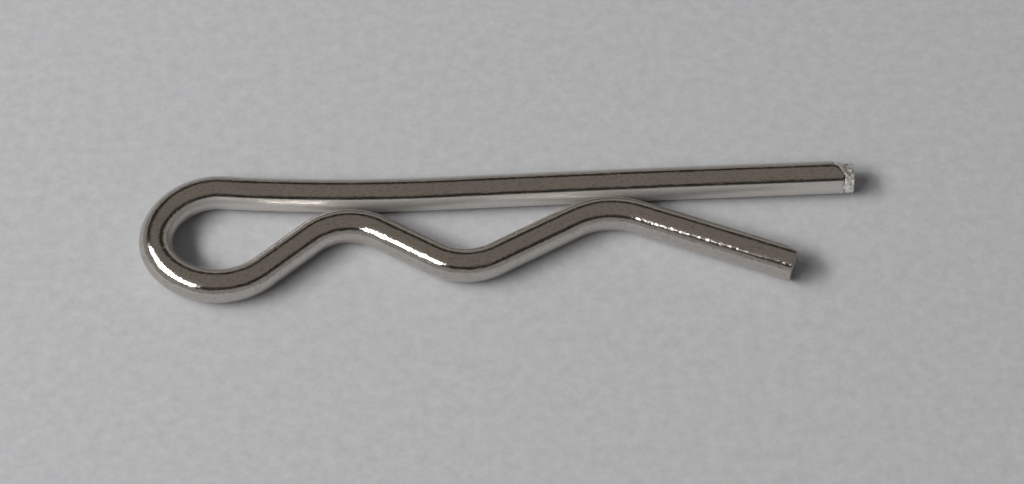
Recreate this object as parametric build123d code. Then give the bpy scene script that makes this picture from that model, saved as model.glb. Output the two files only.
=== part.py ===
from build123d import *
import math
import os

# Spring cotter pin, also called an R-clip: one round wire, formed flat and lying on its side.
# The straight leg goes through a shaft's cross hole, the wavy leg snaps round the shaft,
# and the eye between them is the finger hold. Millimetres and degrees, +Z up.

# The wire
wire_diameter = 2.0

# The straight leg, from its free end back to the eye
free_end_length = 10.6
leg_bow_radius = 900.0
leg_bow_angle = 0.5
leg_middle_length = 6.2
leg_set_radius = 106.0
leg_set_angle = 7.0

# The eye, in three bends of its own
eye_top_radius = 3.55
eye_top_angle = 80.0
eye_nose_radius = 2.9
eye_nose_angle = 48.5
eye_bottom_radius = 4.0

# The wavy leg: slopes against the straight leg, and the bends between them
first_rise_angle = 39.0
crest_1_radius = 3.4
first_fall_angle = 33.0
seat_bend_radius = 3.6
second_rise_angle = 27.0
crest_2_radius = 4.5
flare_angle = 24.0
tail_length = 9.6

# What the wavy leg keeps to
shaft_diameter = 8.5
seat_grip = 0.15
crest_1_gap = 0.09
crest_2_gap = 0.05

# The sheared ends
leg_roll_length = 0.30
tail_roll_length = 0.80
roll_depth = 0.13
roll_direction = 40.0
end_edge_radius = 0.07

wire_radius = wire_diameter / 2


def heading(curve):
    """The direction of a curve at its far end, in degrees from +X."""
    tangent = curve % 1
    return math.degrees(math.atan2(tangent.Y, tangent.X))


def run(previous, length):
    """A straight run on from the end of the last piece of the path."""
    return PolarLine(previous @ 1, length, direction=previous % 1)


def run_to_height(previous, height):
    """A straight run on, as long as it takes to reach a height in the wire's plane."""
    climb = height - (previous @ 1).Y
    return run(previous, climb / math.sin(math.radians(heading(previous))))


def bend(previous, radius, angle):
    """A tangent bend: a positive angle turns left, a negative one right."""
    return JernArc(previous @ 1, previous % 1, radius, angle)


def bend_rise(radius, slope):
    """How far a bend climbs between a run at this slope and the bend's level point."""
    return radius * (1 - math.cos(math.radians(slope)))


def seat_bottom():
    """The height of the seat's lowest point.

    Both slopes of the seat touch the shaft, which is centred on the straight leg, and the
    seat's own bend rounds the corner between them.
    """
    reach = shaft_diameter / 2 - seat_grip + wire_radius
    half_turn = math.radians((first_fall_angle + second_rise_angle) / 2)
    skew = math.radians((first_fall_angle - second_rise_angle) / 2)
    centre_drop = (reach - seat_bend_radius) * math.cos(skew) / math.cos(half_turn)
    return -(centre_drop + seat_bend_radius)


def wire_path():
    """The wire's centreline, from the free end of the straight leg to the tail's end."""
    crest_1_height = -(wire_diameter + crest_1_gap)
    crest_2_height = -(wire_diameter + crest_2_gap)
    seat_height = seat_bottom()
    start_direction = Vector(-1, 0).rotate(Axis.Z, -leg_bow_angle)
    crest_1_turn = first_rise_angle + first_fall_angle
    seat_turn = first_fall_angle + second_rise_angle
    crest_2_turn = second_rise_angle + flare_angle
    with BuildLine() as path:
        # The middle of the straight leg lies on the X axis, and its free end droops by the bow
        bow_drop = bend_rise(leg_bow_radius, leg_bow_angle)
        droop = bow_drop + free_end_length * math.sin(math.radians(leg_bow_angle))
        free_end = PolarLine((0, -droop), free_end_length, direction=start_direction)
        bow = bend(free_end, leg_bow_radius, leg_bow_angle)
        middle = run(bow, leg_middle_length)
        leg_set = bend(middle, leg_set_radius, -leg_set_angle)

        # The eye turns on round until it points up the first rise
        eye_top = bend(leg_set, eye_top_radius, eye_top_angle)
        eye_nose = bend(eye_top, eye_nose_radius, eye_nose_angle)
        turned = eye_top_angle + eye_nose_angle - leg_set_angle
        eye_bottom = bend(eye_nose, eye_bottom_radius, 180 + first_rise_angle - turned)

        # Each slope ends where the next bend just reaches its own height
        rise = bend_rise(crest_1_radius, first_rise_angle)
        first_rise = run_to_height(eye_bottom, crest_1_height - rise)
        crest_1 = bend(first_rise, crest_1_radius, -crest_1_turn)
        rise = bend_rise(seat_bend_radius, first_fall_angle)
        first_fall = run_to_height(crest_1, seat_height + rise)
        seat = bend(first_fall, seat_bend_radius, seat_turn)
        rise = bend_rise(crest_2_radius, second_rise_angle)
        second_rise = run_to_height(seat, crest_2_height - rise)
        crest_2 = bend(second_rise, crest_2_radius, -crest_2_turn)
        run(crest_2, tail_length)
    return path.wire()


def end_plane(path, end):
    """A plane at one end of the path, 0 or 1, facing out of the wire with its Y axis up."""
    outward = path % end if end else path % 0 * -1
    across = Vector(0, 0, 1).cross(outward)
    return Plane(origin=path @ end, x_dir=across, z_dir=outward)


def roll_over(plane, length, towards):
    """The wedge that a shear blade pushes down: it is taken off one side of the wire's end."""
    slope = math.degrees(math.atan2(roll_depth, length))
    block = Box(
        wire_diameter,
        wire_diameter * 2,
        wire_diameter * 2,
        align=(Align.MIN, Align.CENTER, Align.CENTER),
    )
    at_edge = Location((wire_radius - roll_depth, 0, 0), (0, -slope, 0))
    return plane * Rot(0, 0, towards) * at_edge * block


def cotter_pin():
    """The whole clip: the round wire swept along its path, with its two sheared ends."""
    path = wire_path()
    leg_end = end_plane(path, 0)
    tail_end = end_plane(path, 1)
    wire = sweep(leg_end * Circle(wire_radius), path=path)
    for plane, roll_length in ((leg_end, leg_roll_length), (tail_end, tail_roll_length)):
        wire -= roll_over(plane, roll_length, roll_direction)
        face = wire.faces().sort_by_distance(plane.origin)[0]
        wire = fillet(face.edges(), end_edge_radius)
    box = wire.bounding_box()
    return wire.moved(Location((-box.center().X, -box.center().Y, -box.min.Z)))


def main():
    os.makedirs("parts", exist_ok=True)
    pin = cotter_pin()
    export_step(pin, "parts/cotter_pin.step")
    size = pin.bounding_box().size
    print(f"cotter_pin {size.X:.2f} x {size.Y:.2f} x {size.Z:.2f} mm, {pin.volume:.2f} mm3")


main()
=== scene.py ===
import math

import bpy
from mathutils import Matrix, Vector


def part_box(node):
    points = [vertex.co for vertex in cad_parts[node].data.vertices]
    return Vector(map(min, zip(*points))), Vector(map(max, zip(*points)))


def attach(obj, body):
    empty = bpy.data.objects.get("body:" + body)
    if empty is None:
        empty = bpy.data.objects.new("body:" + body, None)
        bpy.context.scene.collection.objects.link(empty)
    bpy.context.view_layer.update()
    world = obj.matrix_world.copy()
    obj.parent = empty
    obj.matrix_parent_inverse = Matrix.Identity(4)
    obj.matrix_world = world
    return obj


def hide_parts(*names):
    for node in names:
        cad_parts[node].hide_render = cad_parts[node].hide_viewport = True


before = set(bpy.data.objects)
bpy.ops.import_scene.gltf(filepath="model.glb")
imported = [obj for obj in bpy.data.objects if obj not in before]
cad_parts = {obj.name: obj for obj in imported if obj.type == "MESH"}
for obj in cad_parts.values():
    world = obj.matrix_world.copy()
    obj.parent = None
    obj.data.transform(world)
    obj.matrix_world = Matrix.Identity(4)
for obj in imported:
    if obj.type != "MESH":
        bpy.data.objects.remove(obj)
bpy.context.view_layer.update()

# Sizes are in millimetres and degrees, as in the part, and MM turns them into metres
MM = 0.001

# The wire
wire_diameter = 2.0
wire_radius = wire_diameter / 2

# The straight leg, from its free end back to the eye
free_end_length = 10.6
leg_bow_radius = 900.0
leg_bow_angle = 0.5
leg_middle_length = 6.2
leg_set_radius = 106.0
leg_set_angle = 7.0

# The eye, in three bends of its own
eye_top_radius = 3.55
eye_top_angle = 80.0
eye_nose_radius = 2.9
eye_nose_angle = 48.5
eye_bottom_radius = 4.0

# The wavy leg
first_rise_angle = 39.0
crest_1_radius = 3.4
first_fall_angle = 33.0
seat_bend_radius = 3.6
second_rise_angle = 27.0
crest_2_radius = 4.5
flare_angle = 24.0
tail_length = 9.6
shaft_diameter = 8.5
seat_grip = 0.15
crest_1_gap = 0.09
crest_2_gap = 0.05

# The sheared ends
leg_roll_length = 0.30
tail_roll_length = 0.80
roll_depth = 0.13
roll_direction = 40.0
end_edge_radius = 0.07

# The leg stops this much short of the CAD's, so that the skin stays inside its box
end_kept_back = 0.001

# How finely the wire's skin is divided
sides_round = 60
rings_along = 1600
rings_on_end = 6
end_ring_crowding = 0.85
crowded_rings = 14

# The crushed end of the straight leg: where its crease runs round the wire, and how deep it is
crease_from_end = 0.56
crease_turning_point = 56.0
crease_gain_above = 0.011
crease_gain_below = 0.0033
crush_slope = 0.14
crease_depth = 0.03
crease_width = 0.05
torn_depth = 0.03

# How finely the torn metal changes, along the wire and across it, per metre
torn_change_along = 6000.0
torn_change_across = 4000.0

# How softly the rolled-over side of each end runs into the round wire
roll_blend = 0.03

# The wire's own small faults, and how finely its waves change across it, per metre
hand_wave_depth = 0.008
hand_wave_length = 3.0
hand_wave_change_across = 700.0

# The metal's colours: where it is cleanest and dullest, in its grain, on its inner side where a
# reflection of the paper is painted, where it is bare or chipped or carries painted glints, and in
# its pits and the painted shade of the leg's crease
clean_metal = (0.645, 0.61, 0.575, 1)
dull_metal = (0.555, 0.52, 0.485, 1)
grain_metal = (0.32, 0.288, 0.25, 1)
painted_paper_reflection_metal = (0.70, 0.675, 0.65, 1)
bare_and_glint_metal = (0.86, 0.85, 0.83, 1)
pit_and_crease_shade_metal = (0.06, 0.055, 0.05, 1)

# The inner side, duller and with a painted reflection of the paper: the angles round the wire where
# it begins and is full, and the distances from the leg's end where it starts to fade and is gone
painted_reflection_side_begins = 41.0
painted_reflection_side_full = 36.0
painted_reflection_side_fades = 40.0
painted_reflection_side_gone = 50.0

# The paper's mottle, and what is seen past the paper
paper_dark = (0.31, 0.313, 0.322, 1)
paper_pale = (0.51, 0.513, 0.523, 1)
backdrop_colour = (0.42, 0.42, 0.43, 1)

# The light: two wide low windows, one far off and a nearer one whose light falls off. Less than
# the whole of a window's share reaches the paper, by the factor at the end
window_elevation = 41.0
window_half_width = 22.0
window_half_height = 7.0
window_colour = (1.0, 0.995, 0.985)
far_window_azimuth = 203.0
far_window_distance = 2.0
far_window_share = 0.44
near_window_azimuth = 181.0
near_window_distance = 0.30
near_window_share = 0.33
window_falls_short = 0.84
even_light = (0.17, 0.17, 0.175, 1)

# The room that the wire mirrors besides the windows: pale walls low down, a dark band above
# them and a dim ceiling. Each ends at an elevation, with a soft edge
wall_colour = (0.30, 0.29, 0.27, 1)
wall_top = 25.0
dark_band_colour = (0.03, 0.027, 0.024, 1)
dark_band_top = 45.0
ceiling_colour = (0.20, 0.18, 0.16, 1)
edge_softness = 5.0


class Pen:
    """Draws the wire's centreline in its own plane, one run or bend after another."""

    spacing = 0.05

    def __init__(self, x, y, heading):
        self.x = x
        self.y = y
        self.heading = math.radians(heading)
        self.points = [(x, y)]

    def run(self, length):
        steps = math.ceil(length / self.spacing)
        start_x, start_y = self.x, self.y
        for number in range(1, steps + 1):
            gone = length * number / steps
            self.x = start_x + gone * math.cos(self.heading)
            self.y = start_y + gone * math.sin(self.heading)
            self.points.append((self.x, self.y))

    def run_to_height(self, height):
        self.run((height - self.y) / math.sin(self.heading))

    def bend(self, radius, angle):
        """A tangent bend: a positive angle turns left, a negative one right."""
        turn = math.radians(angle)
        signed_radius = math.copysign(radius, angle)
        centre_x = self.x - signed_radius * math.sin(self.heading)
        centre_y = self.y + signed_radius * math.cos(self.heading)
        steps = math.ceil(radius * abs(turn) / self.spacing)
        start = self.heading
        for number in range(1, steps + 1):
            self.heading = start + turn * number / steps
            self.x = centre_x + signed_radius * math.sin(self.heading)
            self.y = centre_y - signed_radius * math.cos(self.heading)
            self.points.append((self.x, self.y))


def bend_rise(radius, slope):
    """How far a bend climbs between a run at this slope and the bend's level point."""
    return radius * (1 - math.cos(math.radians(slope)))


def seat_bottom():
    """The height of the seat's lowest point, below a shaft centred on the straight leg."""
    reach = shaft_diameter / 2 - seat_grip + wire_radius
    half_turn = math.radians((first_fall_angle + second_rise_angle) / 2)
    skew = math.radians((first_fall_angle - second_rise_angle) / 2)
    centre_drop = (reach - seat_bend_radius) * math.cos(skew) / math.cos(half_turn)
    return -(centre_drop + seat_bend_radius)


def wire_path():
    """The centreline's points in metres, placed so that the wire fills its CAD node's box."""
    droop = bend_rise(leg_bow_radius, leg_bow_angle)
    droop += free_end_length * math.sin(math.radians(leg_bow_angle))
    pen = Pen(-end_kept_back, -droop, 180 - leg_bow_angle)
    pen.run(free_end_length - end_kept_back)
    pen.bend(leg_bow_radius, leg_bow_angle)
    pen.run(leg_middle_length)
    pen.bend(leg_set_radius, -leg_set_angle)

    # The eye turns on round until it points up the first rise
    pen.bend(eye_top_radius, eye_top_angle)
    pen.bend(eye_nose_radius, eye_nose_angle)
    turned = eye_top_angle + eye_nose_angle - leg_set_angle
    pen.bend(eye_bottom_radius, 180 + first_rise_angle - turned)

    # Each slope ends where the next bend just reaches its own height
    crest_1_height = -(wire_diameter + crest_1_gap)
    crest_2_height = -(wire_diameter + crest_2_gap)
    pen.run_to_height(crest_1_height - bend_rise(crest_1_radius, first_rise_angle))
    pen.bend(crest_1_radius, -(first_rise_angle + first_fall_angle))
    pen.run_to_height(seat_bottom() + bend_rise(seat_bend_radius, first_fall_angle))
    pen.bend(seat_bend_radius, first_fall_angle + second_rise_angle)
    pen.run_to_height(crest_2_height - bend_rise(crest_2_radius, second_rise_angle))
    pen.bend(crest_2_radius, -(second_rise_angle + flare_angle))
    pen.run(tail_length)

    low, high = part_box("cotter_pin")
    shift_x = low[0] - (min(x for x, y in pen.points) - wire_radius) * MM
    shift_y = high[1] - (max(y for x, y in pen.points) + wire_radius) * MM
    height = low[2] + wire_radius * MM
    return [(x * MM + shift_x, y * MM + shift_y, height) for x, y in pen.points]


def arithmetic(operation, reflected=False):
    """One arithmetic operator of a Value, as a Math or Vector Math node."""

    def apply(self, other):
        pair = (other, self) if reflected else (self, other)
        return self.bench.maths(operation, *pair)

    return apply


class Value:
    """An output of a node, which can be added, multiplied and so on like a number."""

    def __init__(self, bench, socket):
        self.bench = bench
        self.socket = socket

    __add__ = arithmetic("ADD")
    __radd__ = arithmetic("ADD", reflected=True)
    __sub__ = arithmetic("SUBTRACT")
    __rsub__ = arithmetic("SUBTRACT", reflected=True)
    __mul__ = arithmetic("MULTIPLY")
    __rmul__ = arithmetic("MULTIPLY", reflected=True)
    __truediv__ = arithmetic("DIVIDE")
    __pow__ = arithmetic("POWER")
    __rpow__ = arithmetic("POWER", reflected=True)


class Bench:
    """Adds nodes to one tree, of a material, the world or a modifier."""

    def __init__(self, tree):
        self.tree = tree

    def add(self, kind, settings=None, sockets=None, output=0):
        """A node of this type: its settings are set first, then its sockets' values or links."""
        node = self.tree.nodes.new(kind)
        for name, setting in (settings or {}).items():
            setattr(node, name, setting)
        for name, given in (sockets or {}).items():
            if isinstance(given, Value):
                self.tree.links.new(given.socket, node.inputs[name])
            else:
                node.inputs[name].default_value = given
        return Value(self, node.outputs[output]) if node.outputs else node

    def maths(self, operation, *values):
        """A Math node, or a Vector Math node where one of the values is a vector."""
        kinds = [value.socket.type for value in values if isinstance(value, Value)]
        kind = "ShaderNodeVectorMath" if "VECTOR" in kinds else "ShaderNodeMath"
        sockets = dict(enumerate(values))
        if kind == "ShaderNodeVectorMath":
            for number, given in sockets.items():
                if isinstance(given, (int, float)):
                    sockets[number] = (given, given, given)
            if operation == "MULTIPLY" and not isinstance(values[1], tuple):
                scalar = [v for v in values if isinstance(v, Value) and v.socket.type != "VECTOR"]
                if scalar:
                    vector = values[0] if values[1] is scalar[0] else values[1]
                    return self.add(kind, {"operation": "SCALE"}, {0: vector, "Scale": scalar[0]})
        return self.add(kind, {"operation": operation}, sockets)

    def split(self, vector):
        """The three parts of a vector."""
        parts = self.add("ShaderNodeSeparateXYZ", sockets={0: vector}).socket.node
        return [Value(self, socket) for socket in parts.outputs]

    def join(self, x, y, z):
        return self.add("ShaderNodeCombineXYZ", sockets={0: x, 1: y, 2: z})

    def between(self, value, start, end, first=0.0, last=1.0):
        """Goes smoothly from first, where the value is start, to last, where it is end."""
        sockets = {0: value, 1: start, 2: end, 3: first, 4: last}
        return self.add("ShaderNodeMapRange", {"interpolation_type": "SMOOTHSTEP"}, sockets)

    def noise(self, place, scale, detail=2.0, roughness=0.5):
        sockets = {"Vector": place, "Scale": scale, "Detail": detail, "Roughness": roughness}
        return self.add("ShaderNodeTexNoise", sockets=sockets)

    def mix(self, amount, first, second):
        """A colour between two."""
        sockets = {0: amount, 6: first, 7: second}
        return self.add("ShaderNodeMix", {"data_type": "RGBA"}, sockets, 2)


def leg_crease(bench, across, up):
    """How far from the leg's end its crease runs, in millimetres, at each angle round the wire."""
    angle = bench.maths("ARCTAN2", up, across) * math.degrees(1)
    above = bench.maths("MAXIMUM", angle - crease_turning_point, 0.0)
    below = bench.maths("MAXIMUM", crease_turning_point - angle, 0.0)
    return crease_from_end + above * crease_gain_above + below * crease_gain_below


def bent_wire_tree(steel):
    """Geometry Nodes that cut a straight wire, shear its ends and bend it along a path."""
    tree = bpy.data.node_groups.new("bent_wire", "GeometryNodeTree")
    tree.interface.new_socket("Geometry", in_out="INPUT", socket_type="NodeSocketGeometry")
    lengths = (
        "Wire length",
        "Wire radius",
        "Edge radius",
        "Roll depth",
        "Leg roll length",
        "Tail roll length",
        "Wave depth",
        "Wave length",
    )
    for name in lengths:
        tree.interface.new_socket(name, in_out="INPUT", socket_type="NodeSocketFloat")
    for name in ("Sides round", "Rings along", "Rings on end"):
        tree.interface.new_socket(name, in_out="INPUT", socket_type="NodeSocketInt")
    tree.interface.new_socket("Wire", in_out="OUTPUT", socket_type="NodeSocketGeometry")
    bench = Bench(tree)
    given = bench.add("NodeGroupInput").socket.node.outputs
    given = {socket.name: Value(bench, socket) for socket in given if socket.name}
    length = given["Wire length"]
    radius = given["Wire radius"]

    # The straight wire: a cylinder whose rings crowd together towards its two ends
    cylinder = bench.add(
        "GeometryNodeMeshCylinder",
        {"fill_type": "TRIANGLE_FAN"},
        {
            "Vertices": given["Sides round"],
            "Side Segments": given["Rings along"],
            "Fill Segments": given["Rings on end"],
            "Radius": radius,
            "Depth": length,
        },
    )
    across, up, height = bench.split(bench.add("GeometryNodeInputPosition"))
    ring = (height / length + 0.5) * given["Rings along"]
    ring_from_end = bench.maths("MINIMUM", ring, given["Rings along"] - ring)
    crowding = end_ring_crowding * crowded_rings
    step = length / (given["Rings along"] - 2 * crowding)
    settled = 1 - math.e ** (ring_from_end * (-1 / crowded_rings))
    from_end = step * (ring_from_end - crowding * settled)
    is_far = bench.maths("GREATER_THAN", height, 0.0)
    from_leg_end = from_end + is_far * (length - 2 * from_end)
    from_tail_end = length - from_leg_end

    # The rounded edges of the two end faces
    depth_in_edge = bench.maths("MAXIMUM", given["Edge radius"] - from_end, 0.0)
    edge_squared = given["Edge radius"] * given["Edge radius"] - depth_in_edge * depth_in_edge
    edge_reach = bench.maths("SQRT", bench.maths("MAXIMUM", edge_squared, 0.0))
    most_radius = radius - given["Edge radius"] + edge_reach
    from_axis = bench.maths("SQRT", across * across + up * up)
    slimmer = bench.maths("MINIMUM", most_radius / bench.maths("MAXIMUM", from_axis, 1e-7), 1.0)

    # Long shallow waves in the wire, as handling and drawing leave them
    wave_place = bench.join(
        from_leg_end / given["Wave length"],
        across * hand_wave_change_across,
        up * hand_wave_change_across,
    )
    wave = bench.noise(wave_place, 1.0, detail=1.0)
    sunk = wave * given["Wave depth"] / radius

    # The crushed leg end: a crease round it, a shallow slope beyond, and torn metal on the slope
    past_crease = leg_crease(bench, across, up) - from_leg_end * (1 / MM)
    slope = bench.maths("MAXIMUM", past_crease, 0.0) * crush_slope
    groove = crease_depth * math.e ** (-1 * (past_crease / crease_width) ** 2)
    torn_place = bench.join(
        from_leg_end * torn_change_along, across * torn_change_across, up * torn_change_across
    )
    torn = bench.between(past_crease, 0.0, 0.15) * bench.noise(torn_place, 1.0, detail=3.0)
    lower_half = bench.between(up / radius, -0.3, 0.1)
    sunk = sunk + (slope + groove + torn * torn_depth) * lower_half / wire_radius
    across = across * slimmer * (1 - sunk)
    up = up * slimmer * (1 - sunk)

    # The side of each end that the shear blade rolls over, down to a sloping plane
    for roll_length, from_this_end, side in (
        (given["Leg roll length"], from_leg_end, -1),
        (given["Tail roll length"], from_tail_end, 1),
    ):
        roll_across = side * math.cos(math.radians(roll_direction))
        roll_up = math.sin(math.radians(roll_direction))
        reach = across * roll_across + up * roll_up
        slope_left = bench.maths("MAXIMUM", 1 - from_this_end / roll_length, -1.0)
        limit = radius - given["Roll depth"] * slope_left
        over = bench.maths("SMOOTH_MAX", reach - limit, 0.0)
        over.socket.node.inputs[2].default_value = roll_blend * MM
        over = over * bench.maths("GREATER_THAN", reach - limit, -roll_blend * MM)
        across = across - over * roll_across
        up = up - over * roll_up

    # Each point keeps its place on the straight wire, for the marks that run along it
    straight = bench.join(from_leg_end, across, up)
    kept = bench.add(
        "GeometryNodeStoreNamedAttribute",
        {"data_type": "FLOAT_VECTOR", "domain": "POINT"},
        {"Geometry": cylinder, "Name": "straight_place", "Value": straight},
    )

    # Bending it along the path, with the plane's own upward direction kept upright
    path = bench.add("GeometryNodeMeshToCurve", sockets={"Mesh": given["Geometry"]})
    named = bench.add(
        "GeometryNodeInputNamedAttribute", {"data_type": "FLOAT_VECTOR"}, {"Name": "straight_place"}
    )
    along, across, up = bench.split(named)
    on_path = bench.add(
        "GeometryNodeSampleCurve",
        {"mode": "LENGTH", "use_all_curves": True},
        {"Curves": path, "Length": along},
        "Position",
    )
    tangent = Value(bench, on_path.socket.node.outputs["Tangent"])
    upright = (0.0, 0.0, 1.0)
    sideways = bench.maths("CROSS_PRODUCT", upright, tangent)
    place = on_path + sideways * across + bench.join(0.0, 0.0, up)
    bent = bench.add("GeometryNodeSetPosition", sockets={"Geometry": kept, "Position": place})
    smooth = bench.add("GeometryNodeSetShadeSmooth", sockets={"Geometry": bent})
    realized = bench.add("GeometryNodeRealizeInstances", sockets={"Geometry": smooth})
    finished = bench.add(
        "GeometryNodeSetMaterial", sockets={"Geometry": realized, "Material": steel}
    )
    bench.add("NodeGroupOutput", sockets={"Wire": finished})
    return tree


def wire_length(points):
    return sum(math.dist(a, b) for a, b in zip(points, points[1:]))


def bent_wire(steel, points):
    """The clip's one wire, as a plain mesh."""
    line = bpy.data.meshes.new("wire_path")
    edges = [(number, number + 1) for number in range(len(points) - 1)]
    line.from_pydata(points, edges, [])
    maker = bpy.data.objects.new("wire_maker", line)
    bpy.context.collection.objects.link(maker)
    modifier = maker.modifiers.new("bent_wire", "NODES")
    modifier.node_group = bent_wire_tree(steel)
    sizes = {
        "Wire length": wire_length(points),
        "Wire radius": wire_radius * MM,
        "Edge radius": end_edge_radius * MM,
        "Roll depth": roll_depth * MM,
        "Leg roll length": leg_roll_length * MM,
        "Tail roll length": tail_roll_length * MM,
        "Wave depth": hand_wave_depth * MM,
        "Wave length": hand_wave_length * MM,
        "Sides round": sides_round,
        "Rings along": rings_along,
        "Rings on end": rings_on_end,
    }
    for socket in modifier.node_group.interface.items_tree:
        if socket.in_out == "INPUT" and socket.name in sizes:
            modifier[socket.identifier] = sizes[socket.name]
    evaluated = maker.evaluated_get(bpy.context.evaluated_depsgraph_get())
    mesh = bpy.data.meshes.new_from_object(evaluated)
    mesh.name = "bent_wire"
    bpy.data.objects.remove(maker)
    wire = bpy.data.objects.new("bent_wire", mesh)
    bpy.context.collection.objects.link(wire)
    return wire


def material(name):
    """An empty node material, with its bench."""
    made = bpy.data.materials.new(name)
    made.use_nodes = True
    made.node_tree.nodes.clear()
    return made, Bench(made.node_tree)


def surface(bench, sockets):
    """The material's one Principled shader, joined to its output."""
    shader = bench.add("ShaderNodeBsdfPrincipled", sockets=sockets)
    bench.add("ShaderNodeOutputMaterial", sockets={"Surface": shader})


def bright_wire(length):
    """Drawn bright steel wire: fine lines along it, small dents with painted glints, rougher sheared
    ends with painted shade in the leg's crease, and a painted reflection of the paper on its inner
    side.
    """
    steel, bench = material("bright_drawn_wire")
    place = bench.add("ShaderNodeAttribute", {"attribute_name": "straight_place"}, output="Vector")
    in_mm = place * (1000.0, 1000.0, 1000.0)
    along, across, up = bench.split(in_mm)

    # Lines from the drawing die, fine and coarse, and the satin grain between them
    lines = bench.noise(bench.join(along * 0.5, across * 7.0, up * 7.0), 1.0, 2.0, 0.6)
    fine_lines = bench.noise(bench.join(along * 2.0, across * 22.0, up * 22.0), 1.0, 2.0, 0.6)
    grain = bench.noise(bench.join(along * 0.45, across, up), 9.0, 3.0, 0.65)
    lumps = bench.noise(in_mm, 3.0, 1.0)
    cloud = bench.noise(bench.join(along * 0.4, across, up), 1.1, 3.0)

    # A scatter of small dents, whitened as painted glints
    dents_and_painted_glints = bench.add(
        "ShaderNodeTexVoronoi",
        {"feature": "F1"},
        {"Vector": bench.join(along * 0.6, across, up), "Scale": 3.2, "Randomness": 1.0},
        "Distance",
    )
    chosen = Value(bench, dents_and_painted_glints.socket.node.outputs["Color"])
    chosen = bench.between(bench.split(chosen)[0], 0.86, 1.0)
    dents_and_painted_glints = bench.between(dents_and_painted_glints + grain * 0.15, 0.10, 0.22, 1.0, 0.0) * chosen
    torn_noise = bench.noise(in_mm, 3.4, 4.0, 0.7)
    painted_glints = dents_and_painted_glints * 0.35

    # The two sheared ends: torn metal past the leg's crease, with a painted shade along the crease,
    # and on both end faces
    crease = leg_crease(bench, across, up) - along + (torn_noise - 0.5) * 0.25
    # A dark line along the upper part of the crease is painted shade
    painted_crease_shade = math.e ** (-1 * (crease / 0.05) ** 2) * bench.between(up, 0.1, 0.6)
    torn = bench.between(crease, 0.0, 0.1)
    end_face = bench.between(along, 0.0, 0.03, 1.0, 0.0)
    tail_from_end = length / MM - along
    end_face = end_face + bench.between(tail_from_end, 0.0, 0.03, 1.0, 0.0)
    chips = torn * bench.between(torn_noise, 0.54, 0.60)
    pits = torn * bench.between(torn_noise, 0.47, 0.40)
    rough_zone = bench.maths("MINIMUM", torn + end_face, 1.0)

    # The side of the straight leg and of the eye that faces the other leg is duller, and paler by a
    # painted reflection of the paper
    round_angle = bench.maths("ARCTAN2", up, across) * math.degrees(1)
    inner_dullness_and_painted_reflection = bench.between(round_angle, painted_reflection_side_begins, painted_reflection_side_full)
    inner_dullness_and_painted_reflection = inner_dullness_and_painted_reflection * bench.between(across, 0.0, 0.3)
    inner_dullness_and_painted_reflection = inner_dullness_and_painted_reflection * bench.between(along, painted_reflection_side_gone, painted_reflection_side_fades)

    colour = bench.mix(cloud, clean_metal, dull_metal)
    dark_grain = bench.between(grain, 0.55, 0.25, 0.0, 0.5)
    colour = bench.mix(dark_grain, colour, grain_metal)
    # The paler colour on the inner side is a painted reflection of the paper
    colour = bench.mix(inner_dullness_and_painted_reflection * 0.6, colour, painted_paper_reflection_metal)
    # Torn metal and chips turn pale as bare metal; the specks' whitening is painted glints
    bare_and_painted_glint = bench.maths("MINIMUM", painted_glints + chips * 0.6 + torn * 0.3, 1.0)
    colour = bench.mix(bare_and_painted_glint, colour, bare_and_glint_metal)
    # The pits, and the painted shade along the crease, turn nearly black
    pits_and_painted_crease_shade = bench.maths("MINIMUM", painted_crease_shade + pits * 0.7, 1.0)
    colour = bench.mix(pits_and_painted_crease_shade, colour, pit_and_crease_shade_metal)
    metallic = 1 - bare_and_painted_glint * 0.75 - inner_dullness_and_painted_reflection * 0.25
    satin = 0.04 + lines * 0.08 + fine_lines * 0.05 + inner_dullness_and_painted_reflection * 0.3
    rough = satin + rough_zone * 0.25 + bare_and_painted_glint * 0.15
    height = lines * 0.005 + fine_lines * 0.002 + lumps * 0.010 + grain * cloud * 0.010
    height = height - dents_and_painted_glints * 0.01 + torn_noise * rough_zone * 0.04
    bump = bench.add("ShaderNodeBump", sockets={"Strength": 1.0, "Distance": MM, "Height": height})
    sockets = {"Base Color": colour, "Metallic": metallic, "Roughness": rough, "Normal": bump}
    surface(bench, sockets)
    return steel


def paper():
    """Pale grey paper with a faint mottle."""
    sheet, bench = material("pale_paper")
    place = bench.add("ShaderNodeTexCoord", output="Object")
    mottle = bench.noise(place, 1300.0, detail=5.0, roughness=0.75)
    colour = bench.mix(mottle, paper_dark, paper_pale)
    bump = bench.add(
        "ShaderNodeBump", sockets={"Strength": 0.3, "Distance": 0.02 * MM, "Height": mottle}
    )
    surface(bench, {"Base Color": colour, "Roughness": 0.9, "Normal": bump})
    return sheet


def floor():
    half = 2.0
    mesh = bpy.data.meshes.new("floor")
    corners = [(-half, -half, 0), (half, -half, 0), (half, half, 0), (-half, half, 0)]
    mesh.from_pydata(corners, [], [(0, 1, 2, 3)])
    mesh.materials.append(paper())
    plane = bpy.data.objects.new("floor", mesh)
    bpy.context.collection.objects.link(plane)


def direction(azimuth, elevation):
    """A direction in the room: azimuth 0 is along +X and 90 is away from the camera."""
    round_angle = math.radians(azimuth)
    up_angle = math.radians(elevation)
    level = math.cos(up_angle)
    return Vector((level * math.cos(round_angle), level * math.sin(round_angle), math.sin(up_angle)))


def above_elevation(bench, height, elevation):
    """How far a direction points above an elevation, from 0 to 1 across a soft edge."""
    low = math.sin(math.radians(elevation - edge_softness))
    high = math.sin(math.radians(elevation + edge_softness))
    return bench.between(height, low, high)


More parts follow.
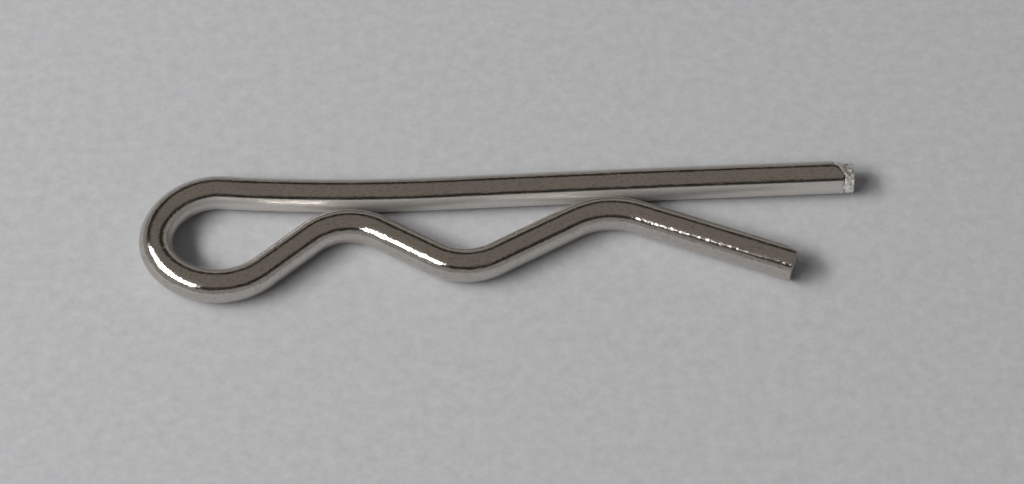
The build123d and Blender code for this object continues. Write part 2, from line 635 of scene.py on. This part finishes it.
def soft_room():
    """The world: even soft light on the floor, and the plain room that bright metal mirrors."""
    world = bpy.data.worlds.new("soft_room")
    bpy.context.scene.world = world
    world.use_nodes = True
    world.node_tree.nodes.clear()
    bench = Bench(world.node_tree)
    towards = bench.add("ShaderNodeTexCoord", output="Generated")
    height = bench.split(towards)[2]
    past_walls = above_elevation(bench, height, wall_top)
    mirrored = bench.mix(past_walls, wall_colour, dark_band_colour)
    past_band = above_elevation(bench, height, dark_band_top)
    mirrored = bench.mix(past_band, mirrored, ceiling_colour)
    kinds = bench.add("ShaderNodeLightPath").socket.node.outputs
    camera_ray = Value(bench, kinds["Is Camera Ray"])
    glossy_ray = Value(bench, kinds["Is Glossy Ray"])
    colour = bench.mix(glossy_ray, even_light, mirrored)
    colour = bench.mix(camera_ray, colour, backdrop_colour)
    light = bench.add("ShaderNodeBackground", sockets={"Color": colour, "Strength": 1.0})
    bench.add("ShaderNodeOutputWorld", sockets={"Surface": light})


def window(name, azimuth, distance, share):
    """A wide area lamp that gives its share of a white floor's light, and that the wire mirrors."""
    lamp = bpy.data.lights.new(name, "AREA")
    lamp.shape = "RECTANGLE"
    lamp.size = 2 * distance * math.tan(math.radians(window_half_width))
    lamp.size_y = 2 * distance * math.tan(math.radians(window_half_height))
    slant = math.sin(math.radians(window_elevation))
    lamp.energy = share * math.pi**2 * distance**2 / slant / window_falls_short
    lamp.color = window_colour
    thing = bpy.data.objects.new(name, lamp)
    towards = direction(azimuth, window_elevation)
    thing.rotation_euler = towards.to_track_quat("Z", "Y").to_euler()
    thing.location = towards * distance
    thing.visible_camera = False
    bpy.context.collection.objects.link(thing)


def camera():
    """The photograph's view, from 54 degrees up and close enough for some perspective."""
    picture_width = 1024
    tilt = math.radians(35.6)
    yaw = math.radians(3.25)
    distance = 146.0
    size_of_pixel = 0.05878
    aim = Vector((0.631, -1.0875, 1.0)) * MM
    to_right = Vector((math.cos(yaw), -math.sin(yaw), 0))
    away = Vector((math.sin(yaw), math.cos(yaw), 0))
    upright = Vector((0, 0, 1))
    backwards = upright * math.cos(tilt) - away * math.sin(tilt)
    up_in_picture = away * math.cos(tilt) + upright * math.sin(tilt)
    lens = bpy.data.cameras.new("camera")
    lens.sensor_width = 36.0
    lens.lens = lens.sensor_width * distance / (picture_width * size_of_pixel)
    lens.clip_start = 0.01
    lens.clip_end = 20.0
    thing = bpy.data.objects.new("camera", lens)
    turned = Matrix((to_right, up_in_picture, backwards)).transposed()
    thing.matrix_world = Matrix.Translation(aim + backwards * distance * MM) @ turned.to_4x4()
    bpy.context.collection.objects.link(thing)
    bpy.context.scene.camera = thing


def make_scene():
    bpy.context.scene.view_settings.view_transform = "Standard"
    points = wire_path()
    wire = bent_wire(bright_wire(wire_length(points)), points)
    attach(wire, "root")
    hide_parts("cotter_pin")
    floor()
    soft_room()
    window("far_window", far_window_azimuth, far_window_distance, far_window_share)
    window("near_window", near_window_azimuth, near_window_distance, near_window_share)
    camera()


make_scene()
